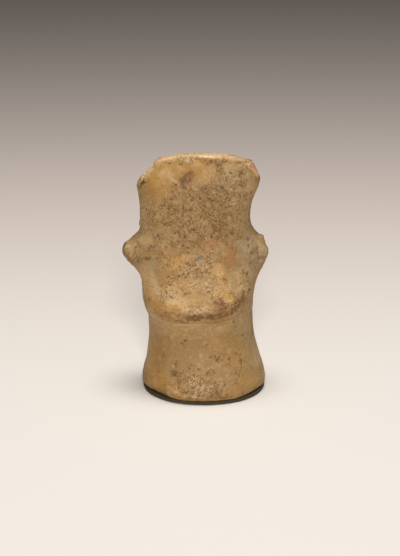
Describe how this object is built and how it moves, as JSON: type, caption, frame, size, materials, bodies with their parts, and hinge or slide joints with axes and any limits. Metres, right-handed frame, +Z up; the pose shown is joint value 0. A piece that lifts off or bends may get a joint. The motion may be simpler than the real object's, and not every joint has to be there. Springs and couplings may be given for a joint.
{
  "type": "standing figurine",
  "caption": "Small weathered stone figurine standing on a flared round skirt: flat slab torso with broken top and arm stubs, rounded belly lip, thin dark pad under the foot.",
  "frame": {"origin": "centre of the foot on the base pad's underside, which stands on the surface", "axes": "+Z up through the figure, which faces -Y, with its narrower arm stub at -X and its angular one at +X"},
  "size_m": [0.0474, 0.0386, 0.0801],
  "materials": {
    "stone": null,
    "pad": "dark olive-grey, matt"
  },
  "bodies": {
    "root": {"figure": "stone", "base_pad": "pad"}
  },
  "joints": []
}
